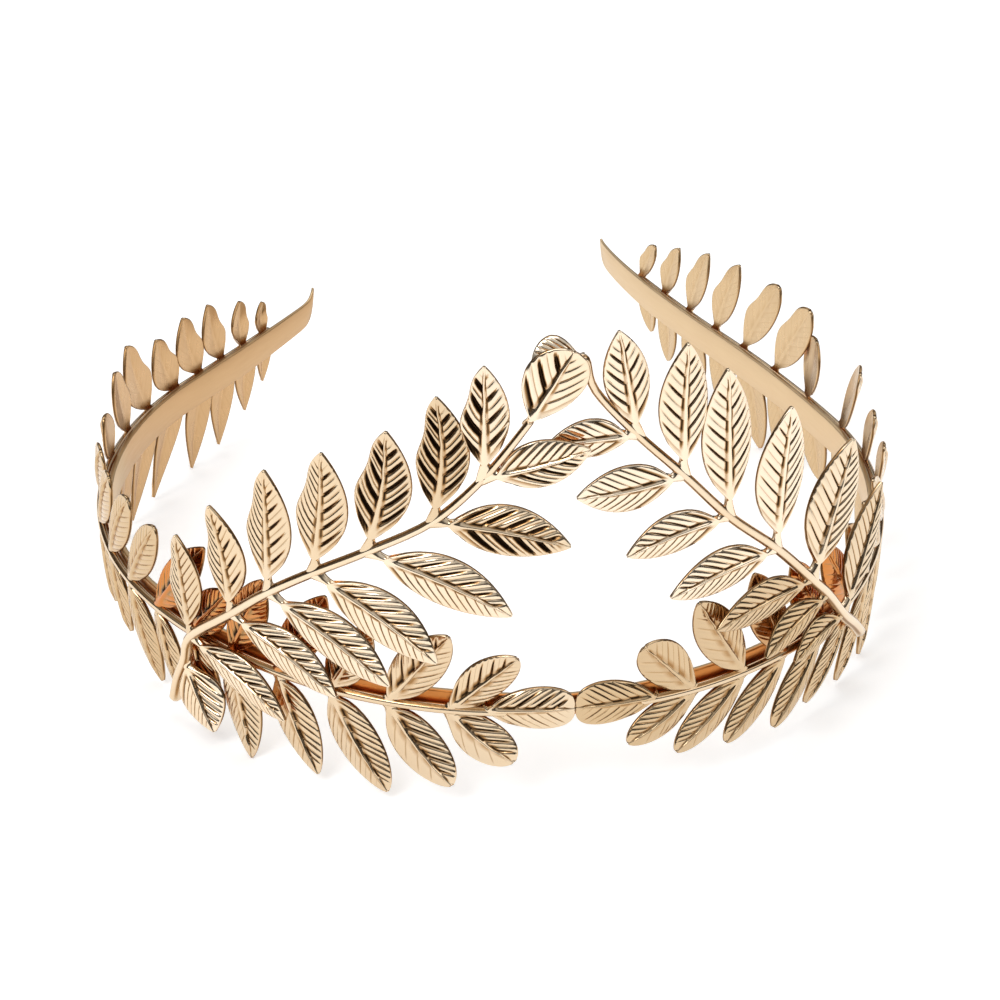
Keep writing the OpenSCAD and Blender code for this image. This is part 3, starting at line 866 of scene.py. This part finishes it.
# distances of the joints from the middle of the front
BRANCH_JOINTS = {
    "left": [
        19.5, 29.4, 39.2, 48.8, 58.2, 67.8, 77.4, 87, 97, 107,
        118, 129, 139.5, 149.5, 159, 166.4, 173.6, 180.6, 187.5,
    ],
    "right": [
        19.6, 29, 37.8, 47.4, 57, 66.6, 76.2, 85.8, 95.4,
        106, 117.5, 130, 142, 153, 162.6, 172.2, 181.8, 191.4,
    ],
}
BRANCH_ROWS = {
    # s, length, slant, width, flare, twist, slimness of the tip
    ("left", "up"): [
        (19.5, 15.2, 46, 7.0, 1.2, 0, 0.6),
        (29.4, 17.6, 55, 7.8, 1.2, 0, 0.7),
        (39.2, 15.6, 62, 7.2, 0.8, 0, 0.8),
        (48.8, 20.4, 61, 7.0, 0.8, 0, 0.8),
        (58.2, 18.6, 66, 7.0, 0.6, 0, 0.8),
        (67.8, 15.0, 50, 7.0, 0, 0, 0.8),
        (77.4, 21.4, 52, 7.0, -0.9, 0, 0.8),
        (87, 17.0, 58, 6.8, -1.0, 0, 0.6),
        (97, 17.0, 59, 7.2, -1.2, 0, 0.5),
        (118, 13.6, 60, 7.6, -0.9, 0.15, 0.5),
        (129, 13.3, 64, 7.2, -0.6, 0, 0.7),
        (139.5, 16.1, 72, 8.0, -0.2, 0, 0.7),
        (149.5, 17.8, 70, 9.0, 0.5, 0, 0.8),
        (159, 13.6, 70, 8.6, 0.6, 0, 0.8),
        (166.4, 14.1, 76, 8.4, 0.6, 0, 0.8),
        (173.6, 13.4, 79, 7.4, 0.8, 0, 0.8),
        (180.6, 9.9, 92, 6.0, 0.6, 0, 0.7),
        (187.5, 6.9, 95, 4.2, 0.4, 0, 0.7),
    ],
    ("left", "low"): [
        (19.5, 13.3, -41, 7.8, 1.4, 0, 0.5),
        (29.4, 17.3, -53, 8.2, 1.6, 0, 0.6),
        (39.2, 19.5, -59, 7.8, 1.6, 0, 0.7),
        (48.8, 18.4, -65, 7.6, 1.5, 0, 0.8),
        (58.2, 19.1, -77, 7.4, 1.4, 0, 0.8),
        (67.8, 17.2, -75, 7.0, -0.8, 0, 0.8),
        (77.4, 16.8, -73, 7.0, -0.6, 0, 0.8),
        (87, 19.0, -71, 8.0, -1.7, 0, 0.8),
        (97, 15.0, -73, 7.0, -1.2, 0, 0.8),
        (118, 14.6, -72, 7.0, -0.6, 0, 0.8),
        (139.5, 21.0, -63, 7.6, 0.2, 0, 1.0),
        (149.5, 22.1, -56, 7.6, 0.2, 0, 1.1),
        (159, 22.3, -56, 7.4, 0, 0, 1.1),
        (166.4, 20.1, -73, 7.2, 0.4, 0, 1.1),
        (173.6, 18.5, -77, 6.8, 0.4, 0, 1.1),
        (180.6, 14.5, -82, 6.2, 0.4, 0, 1.1),
        (187.5, 10.8, -77, 4.8, 0.4, 0, 1.1),
    ],
    ("right", "up"): [
        (19.6, 14.2, 50, 7.6, 1.0, 0, 0.5),
        (29, 19.6, 60, 7.6, 1.2, 0, 0.7),
        (37.8, 20.6, 66, 7.2, 0.9, 0, 0.8),
        (57, 17.4, 59, 7.0, -1.2, 0, 0.8),
        (85.8, 16.0, 52, 6.8, -1.6, 0, 0.8),
        (95.4, 18.7, 52, 6.8, -0.3, 0, 0.6),
        (106, 14.4, 60, 7.6, -0.5, 0.15, 0.5),
        (117.5, 18.9, 60, 8.8, -1.1, 0.4, 0.5),
        (130, 14.3, 77, 9.6, -0.6, 0.3, 0.5),
        (142, 21.1, 59, 8.4, 0.4, 0, 0.6),
        (153, 20.7, 61, 7.6, 0.8, 0, 0.6),
        (162.6, 18.1, 71, 6.8, 0.8, 0, 0.8),
        (172.2, 16.2, 72, 6.8, 0.8, 0, 0.8),
        (181.8, 13.1, 72, 6.0, 0.6, 0, 0.8),
        (191.4, 10.3, 64, 4.6, 0.4, 0, 0.6),
    ],
    ("right", "low"): [
        (19.6, 13.4, -32, 6.6, 1.0, 0, 0.6),
        (29, 16.6, -40, 6.8, 1.2, 0, 0.6),
        (47.4, 18.1, -51, 6.6, 0.4, 0, 0.6),
        (57, 18.6, -55, 6.6, -1.3, 0, 0.6),
        (66.6, 19.4, -63, 6.4, -1.3, 0, 0.6),
        (76.2, 19.8, -65, 6.4, -0.4, 0, 0.7),
        (95.4, 14.2, -67, 6.6, -1.7, 0, 0.8),
        (117.5, 14.4, -69, 8.0, -1.5, 0, 0.8),
        (130, 16.0, -66, 8.6, 0.2, 0, 0.7),
        (142, 20.5, -71, 8.6, 0, 0, 0.7),
        (153, 20.3, -68, 8.6, 0.4, 0, 0.7),
        (162.6, 20.0, -72, 8.4, 0.4, 0, 0.7),
        (172.2, 18.0, -78, 8.0, 0.4, 0, 0.7),
        (181.8, 14.5, -82, 7.0, 0.4, 0, 0.7),
        (191.4, 11.5, -67, 6.0, 0.4, 0, 0.7),
    ],
}
print("joints of the branches:", {side: len(row) for side, row in BRANCH_JOINTS.items()})

# %% A leaf of a branch
LEAF_OFF = 0.3
BRANCH_STALK = 0.08
FRONT_BASE = 0.6
REAR_BASE = {"up": 0.9, "low": 0.5}
LOW_BOW = (-0.9, 1.4)
# At the rear the upper leaves' feet stand a little before their joints.
UP_SHIFT = {"left": 1.6, "right": 0.0}
UP_BOW = -0.8
REAR_HOLLOW = 0.3


def branch_z(s):
    return mix(-2.6, -1.4, ramp(20, 100, s))


def from_rows(rows, s):
    """The row at s, mixed from the two rows of the table round it."""
    if s <= rows[0][0]:
        return rows[0]
    for a, b in zip(rows, rows[1:]):
        if s <= b[0]:
            k = (s - a[0]) / (b[0] - a[0])
            return tuple(mix(p, q, k) for p, q in zip(a, b))
    return rows[-1]


def branch_leaf(side, way, s, lean):
    """Leaf and flare of a branch at s; a hanging leaf ends on the ground at most."""
    length, slant, width, flare, twist, tip = from_rows(BRANCH_ROWS[side, way], s)[1:]
    if way == "up":
        before = UP_SHIFT[side] * ramp(130, 20, s)
        bow = UP_BOW * before
        hollow = REAR_HOLLOW * ramp(125, 20, s)
    else:
        length = min(length, (BAND_TOP_Z + branch_z(s)) / math.sin(math.radians(-slant)))
        before = 0.0
        bow = mix(*LOW_BOW, ramp(50, 90, s))
        hollow = 0.0
    base = mix(FRONT_BASE, REAR_BASE[way], ramp(110, 30, s))
    shape = Shape(BRANCH_STALK, base, tip, hollow)
    return Leaf(s - before, branch_z(s), slant, length, width, bow, twist + lean, shape, 0.0), flare


# %% Cuts and tone of a branch's leaves
BRANCH_PITCH = 3.1
# Beyond PLAIN_FROM all leaves are struck softly.
PLAIN_FROM = 80
FIRST_LEAVES = 35
# Painted shade on the branches' leaves: some at the front, more round the sides and
# at the left's back, and deep brown shade behind a spray's foot.
FRONT_SHADE = {"left": 0.2, "right": 0.18}
SIDE_SHADE = 0.14
REAR_SHADE = 0.16
BEHIND_SPRAY = {"left": (46, 80), "right": (40, 60)}
BEHIND_SHADE = 0.65


def branch_cuts(side, way, s):
    """Only the front leaves of the left branch have strong grooves, on one half."""
    if s > PLAIN_FROM:
        return SOFT, SOFT
    if side == "left":
        if way == "up":
            return SOFT, STRIPE
        return (FAINT, STRIPE) if s < FIRST_LEAVES else (SOFT, THIN)
    return FAINT, SOFT


def branch_shade(side, way, s):
    """Painted shade of a leaf of a branch."""
    beside = smooth(50, 90, s)
    if side == "left":
        tone = FRONT_SHADE[side] + SIDE_SHADE * beside + REAR_SHADE * smooth(110, 135, s)
    else:
        tone = FRONT_SHADE[side] + SIDE_SHADE * (1 - beside)
    if way == "up":
        low, high = BEHIND_SPRAY[side]
        tone += BEHIND_SHADE * smooth(low - 6, low + 2, s) * (1 - smooth(high - 2, high + 6, s))
    return tone


# %% Make the two branches
# painted shade on the branches' stems, which lie deep among the leaves
STEM_SHADE = 0.2
BRANCH_UNEVEN = 0.06
# s of the foot, height over the stem, length, width
END_LEAF = {"left": (14.4, 0.5, 14.4, 8.0), "right": (13.6, 0.6, 13.6, 8.2)}
END_SHAPE = Shape(BRANCH_STALK, 0.6, 0.34, 0.0)
END_OFF = 0.5
# the end leaves get painted shade too
END_LOOK = {
    "left": Look(SOFT, STRIPE, 0.18, BRANCH_PITCH),
    "right": Look(SOFT, THIN, 0.34, BRANCH_PITCH),
}


def base_branch(side):
    bm = bmesh.new()
    layers = new_layers(bm)
    joints = BRANCH_JOINTS[side]
    stem = [(s, branch_z(s), BRANCH_OFF, BRANCH_D) for s in [BRANCH_START] + joints]
    add_stem(bm, layers, side, stem, STEM_SHADE)
    foot, rise, length, width = END_LEAF[side]
    end_leaf = Leaf(foot, branch_z(0) + rise, 0.0, length, width, 0.0, 0.0, END_SHAPE, None)
    add_leaf(bm, layers, side, end_leaf, BRANCH_OFF + END_OFF, 0.0, END_LOOK[side], FINE_GRID)
    chance = random.Random(side)
    for way in ("up", "low"):
        for s in joints:
            leaf, flare = branch_leaf(side, way, s, chance.uniform(-BRANCH_UNEVEN, BRANCH_UNEVEN))
            look = Look(*branch_cuts(side, way, s), branch_shade(side, way, s), BRANCH_PITCH)
            add_leaf(bm, layers, side, leaf, BRANCH_OFF + LEAF_OFF, flare, look, PLAIN_GRID)
    finish_piece("branch_" + side, bm, leaf_gold, "base_branch_" + side)


for side in ("left", "right"):
    base_branch(side)

# %% [markdown]
# ## Sprays
# The sprays carry the largest leaves and stand highest, so the eye goes to them
# first. They get the fine grid, and a leaf that catches the light in its own way
# has a look of its own: the cuts of its two halves, its tone, which is painted
# shade above 0 and painted light below 0, and how far apart its veins are.

# %% Tables of the sprays
SPRAY_D = 1.8
SPRAY_FOOT_D = SPRAY_D + 0.4
SPRAY_TOP_D = SPRAY_D - 0.7
SOLDER_Z = -1.0
SPRAY_OFF = BRANCH_OFF + BRANCH_D / 2 + SPRAY_FOOT_D / 2
SPRAY_FLARE = 0.6
# s, z, then angle, length, width, bow and twist of the upper and of the lower leaf
SPRAY_ROWS = {
    "left": [
        (67.5, -6.7, 93, 0, 0, 0, 0, -59, 13.0, 9.4, -0.4, -0.2),
        (65.5, -1.2, 94, 19.2, 8.0, 0.4, 0, -23, 21.2, 7.6, 1, 0),
        (55.4, 7.9, 98, 19.5, 7.6, -0.6, 0, -26, 21.1, 7.8, 1, 0),
        (47.6, 15.0, 88, 22.6, 8.2, 0, 0, -31, 23.2, 8.4, 1, 0),
        (39.3, 21.4, 84, 22.1, 8.2, -0.4, 0, -34, 22.7, 8.6, 1, 0),
        (30.6, 27.4, 81, 21.9, 8.2, -0.8, 0, -23.5, 22.8, 8.4, 1, 0),
        (20.8, 34.4, 88, 21.4, 7.6, -1.0, 0, -11, 19.5, 8.4, 0.8, 0),
        (13.6, 42.8, 90, 18.6, 6.8, 0, 0, 18, 15.0, 8.0, -0.4, 0),
    ],
    "right": [
        (50.8, -0.5, 118, 22.6, 7.8, 0.8, 0.25, -11, 13.4, 6.4, 1, 0),
        (45.3, 6.4, 110, 0, 0, 0, 0, -22, 15.3, 6.6, 1, 0),
        (40.8, 11.3, 108, 24.1, 8.4, 0.4, 0.35, -5, 19.4, 8.2, 1, 0.1),
        (32.2, 20.8, 91.5, 25.3, 9.0, -0.2, 0, -9, 19.0, 8.2, 0.8, 0.12),
        (22.8, 29.9, 86, 26.2, 8.2, 0.1, 0, -11, 16.6, 7.8, 0.8, 0.12),
        (14.9, 39.3, 89, 22.4, 7.6, -0.1, 0, -5, 15.9, 8.6, -0.4, 0.12),
        (7.6, 47.6, 80, 17.9, 6.6, 0, 0, -1, 12.6, 7.0, 0, 0.2),
        (1.5, 55.6, 90, 0, 0, 0, 0, 0, 0, 0, 0, 0),
    ],
}
SPRAY_FOOT = {"left": [(71.0, -16.0), (69.6, -11.3)], "right": [(58.4, -8.4), (55.0, -4.7)]}
SPRAY_CROWN = {"left": (8.1, 51.5), "right": (0.1, 60.8)}
CROWN_OFF = {"left": 6.8, "right": 4.2}
# angle, length, width, bow and twist
CROWN_LEAF = {"left": (63, 13.6, 8.6, 0, 0), "right": (-2, 7.4, 5.2, 1.0, -0.4)}
print("joints of the sprays:", {side: len(row) for side, row in SPRAY_ROWS.items()})

# %% Shapes and looks of the sprays' leaves
LOW_SHAPE = Shape(0.14, 0.72, 0.9, 0.0)
UP_SHAPE = {"left": Shape(0.14, 0.72, 0.9, 0.26), "right": LOW_SHAPE}
CROWN_SHAPE = Shape(0.14, 0.72, 0.5, 0.0)
# the tones are painted shade above 0 and painted light below 0
# The high half of an upright leaf is the one away from the middle.
UP_LOOK = {"left": Look(MARK, FINE, 0.17, 3.1), "right": Look(SLIM, SLIM, -0.3, 3.8)}
LOW_LOOK = {"left": Look(FINE, STRIPE, 0.05, 3.1), "right": Look(FINE, SLIM, -0.3, 3.6)}
CROWN_LOOK = {"left": Look(SOFT, BOLD, 0.0, 3.6), "right": Look(THIN, THIN, -0.9, 3.0)}
OWN_UP_LOOK = {
    ("left", 65.5): Look(FINE, FINE, 0.22, 3.1),
    ("left", 39.3): Look(MARK, FINE, 0.18, 3.1),
    ("left", 30.6): Look(BOLD, DEEP, 0.2, 3.4),
    ("left", 20.8): Look(BOLD, DEEP, 0.25, 3.0),
    ("left", 13.6): Look(MARK, DEEP, 0.05, 4.2),
    ("right", 50.8): Look(FINE, FINE, 0.2, 3.6),
    ("right", 40.8): Look(SLIM, FINE, 0.08, 3.6),
}
OWN_LOW_LOOK = {
    ("left", 20.8): Look(DEEP, BOLD, 0.15, 3.1),
    ("left", 13.6): Look(BOLD, FINE, 0.0, 3.1),
    ("right", 50.8): Look(FINE, THIN, 0.35, 3.1),
    ("right", 45.3): Look(FINE, THIN, 0.35, 3.1),
    ("right", 40.8): Look(FINE, SLIM, 0.3, 3.6),
    ("right", 14.9): Look(FINE, THIN, -0.8, 3.6),
    ("right", 7.6): Look(FINE, THIN, -0.8, 3.6),
}
print("leaves with a look of their own:", len(OWN_UP_LOOK) + len(OWN_LOW_LOOK))

# %% Make the two sprays
# painted shade on the sprays' stems
SPRAY_SHADE = 0.1
SPRAY_UNEVEN = 0.07
# how far the stem runs on inside the crown leaf's rib, and its diameter there
RUN_OUT = [(1.4, 0.9), (2.8, 0.6)]


def off_at(side, z):
    """How far a spray stands in front of the band; it leans forward as it rises."""
    rise = ramp(SOLDER_Z, SPRAY_CROWN[side][1] - SOLDER_Z, z)
    return mix(SPRAY_OFF, CROWN_OFF[side], rise)


def upper_spray(side):
    bm = bmesh.new()
    layers = new_layers(bm)
    rows = SPRAY_ROWS[side]
    spine = SPRAY_FOOT[side] + [row[:2] for row in rows] + [SPRAY_CROWN[side]]
    stem = [
        (s, z, off_at(side, z), mix(SPRAY_FOOT_D, SPRAY_TOP_D, i / len(spine)))
        for i, (s, z) in enumerate(spine)
    ]
    crown_leaf = Leaf(*SPRAY_CROWN[side], *CROWN_LEAF[side], CROWN_SHAPE, None)
    angle = math.radians(crown_leaf.angle)
    for a, width in RUN_OUT:
        s, z = crown_leaf.s - a * math.cos(angle), crown_leaf.z + a * math.sin(angle)
        stem.append((s, z, CROWN_OFF[side], width))
    add_stem(bm, layers, side, stem, SPRAY_SHADE)
    leaves = []
    chance = random.Random(side)
    foot = len(SPRAY_FOOT[side])
    for i, (s, z, *sizes) in enumerate(rows):
        below, above = spine[foot + i - 1], spine[foot + i + 1]
        slope = math.degrees(math.atan2(above[1] - below[1], below[0] - above[0]))
        up_look = OWN_UP_LOOK.get((side, s), UP_LOOK[side])
        low_look = OWN_LOW_LOOK.get((side, s), LOW_LOOK[side])
        pair = ((sizes[:5], UP_SHAPE[side], up_look), (sizes[5:], LOW_SHAPE, low_look))
        for (angle, length, width, bow, twist), shape, look in pair:
            twist += chance.uniform(-SPRAY_UNEVEN, SPRAY_UNEVEN)
            if length > 0:
                leaf = Leaf(s, z, angle, length, width, bow, twist, shape, slope)
                leaves.append((leaf, off_at(side, z), SPRAY_FLARE, look))
    leaves.append((crown_leaf, CROWN_OFF[side], 0.0, CROWN_LOOK[side]))
    for leaf, off, flare, look in leaves:
        add_leaf(bm, layers, side, leaf, off + LEAF_OFF, flare, look, FINE_GRID)
    finish_piece("spray_" + side, bm, leaf_gold, "upper_spray_" + side)


for side in ("left", "right"):
    upper_spray(side)

# %% [markdown]
# ## Headband
# The band is a flat strip with rounded edges that runs out in a point at each
# end. Rings of twelve points are bridged from one tip to the other. A curve with a
# flat bevel would be quicker, but its height couldn't change on the way. The inner
# side is seen at the back, so the strip has a brushed finish along its length.

# %% Outline of the strip
BAND_H = 6.0
BAND_FRONT_H = 4.4
BAND_T = 1.0
BAND_TAPER = 26.0
BAND_END_H = 5.0
BAND_END_T = 0.6
# How far the tips rise and curl outward, the height left at a tip, and how
# suddenly the strip narrows to it: a higher power makes the slanting cut shorter.
BAND_TIP_RISE = {"left": 2.4, "right": 0.3}
BAND_TIP_CURL = {"left": 0.3, "right": 1.1}
POINT_H = 0.6
CORNER_POWER = 24
# The upper edge sinks a little towards the middle of the front.
DIP = 0.6
DIP_LENGTH = 18.0
EDGE_ROUND = 0.22
EDGE_BULGE = 0.3


def band_profile(side, s):
    """Corners of the strip at s as (offset, height), rounded a little."""
    k = ramp(half_length(side) - BAND_TAPER, BAND_TAPER, s)
    point = k ** CORNER_POWER
    rise = BAND_TIP_RISE[side]
    top = rise * point - DIP * (1 - ramp(0.0, DIP_LENGTH, s))
    height = mix(mix(BAND_FRONT_H, BAND_H, ramp(60, 50, s)), BAND_END_H, k)
    low = mix(-height, rise - POINT_H, point)
    out = BAND_TIP_CURL[side] * k ** 3
    inner = out - mix(BAND_T, BAND_END_T, k)
    r = min(EDGE_ROUND, (top - low) / 3)
    q = EDGE_BULGE * r
    return [
        (out - r, top), (out - q, top - q), (out, top - r),
        (out, low + r), (out - q, low + q), (out - r, low),
        (inner + r, low), (inner + q, low + q), (inner, low + r),
        (inner, top - r), (inner + q, top - q), (inner + r, top),
    ]


print("points round the strip:", len(band_profile("left", 0.0)))

# %% Make the headband
BAND_STEPS = 60
TIP_STEPS = 18
# Painted shade on the left rear's inner side, which gets less light, and on the
# outer side at the rear and at the front, where it lies deep between the leaves.
BAND_BACK_SHADE = 0.5
OUTER_SHADE = (0.2, 0.95)


def band_places(side):
    """Places along one half, closer together where it runs out to the point."""
    plain = half_length(side) - BAND_TAPER
    places = [(side, plain * i / BAND_STEPS) for i in range(1, BAND_STEPS + 1)]
    for i in range(1, TIP_STEPS + 1):
        places.append((side, plain + BAND_TAPER * (1 - (1 - i / TIP_STEPS) ** 2)))
    return places


def headband():
    bm = bmesh.new()
    layers = new_layers(bm, "along")
    previous = None
    for side, s in band_places("left")[::-1] + [("right", 0.0)] + band_places("right"):
        profile = band_profile(side, s)
        ring = bmesh.ops.create_circle(bm, cap_ends=False, radius=1.0, segments=len(profile))["verts"]
        edges = once(e for v in ring for e in v.link_edges if len(e.link_faces) == 0)
        middle = (profile[0][0] + profile[-1][0]) / 2
        inner_shade = BAND_BACK_SHADE * smooth(110, 135, s) if side == "left" else 0.0
        outer_shade = mix(*OUTER_SHADE, 1 - smooth(60.0, 110.0, s))
        for v, (off, z) in zip(ring, profile):
            v.co = wall(side, s, off, z)
            v[layers["along"]] = MIRROR[side] * s * MM
            v[layers["raw"]] = 1.0
            v[layers["shade"]] = outer_shade if off > middle - 0.1 else inner_shade
        if previous:
            bmesh.ops.bridge_loops(bm, edges=previous + edges)
        else:
            bmesh.ops.contextual_create(bm, geom=edges)
        previous = edges
    bmesh.ops.contextual_create(bm, geom=previous)
    finish_piece("band", bm, band_gold, "headband")


headband()
